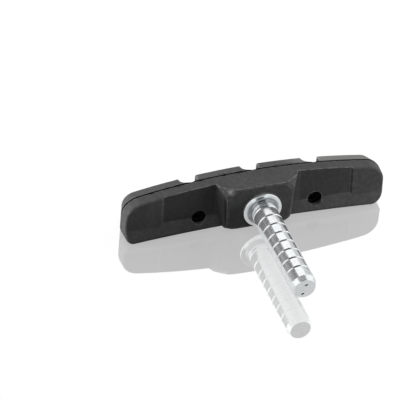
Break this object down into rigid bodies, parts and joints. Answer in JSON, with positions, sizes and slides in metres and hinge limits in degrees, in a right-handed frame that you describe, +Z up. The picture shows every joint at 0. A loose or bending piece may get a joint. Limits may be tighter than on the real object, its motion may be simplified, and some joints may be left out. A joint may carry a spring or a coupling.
{
  "type": "bicycle rim brake pad",
  "caption": "Arched rubber rim brake pad with cross slots in its tapered braking face, a central boss at the back and a ring-grooved, plated steel post that a brake arm clamps.",
  "frame": {"origin": "on the axis of the post, at the middle of the stretch that a brake arm clamps", "axes": "+X along the pad, +Y from the post towards the braking face, +Z up, towards the convex long edge; the post points along -Y"},
  "size_m": [0.0732, 0.0452, 0.015],
  "materials": {
    "pad_block": "matt moulded black rubber",
    "backing_plate": "dark bonding primer on sheet steel",
    "post": "bright zinc plate on cold-headed steel"
  },
  "bodies": {
    "root": {"pad_block": "pad_block", "backing_plate": "backing_plate", "post": "post"}
  },
  "joints": []
}
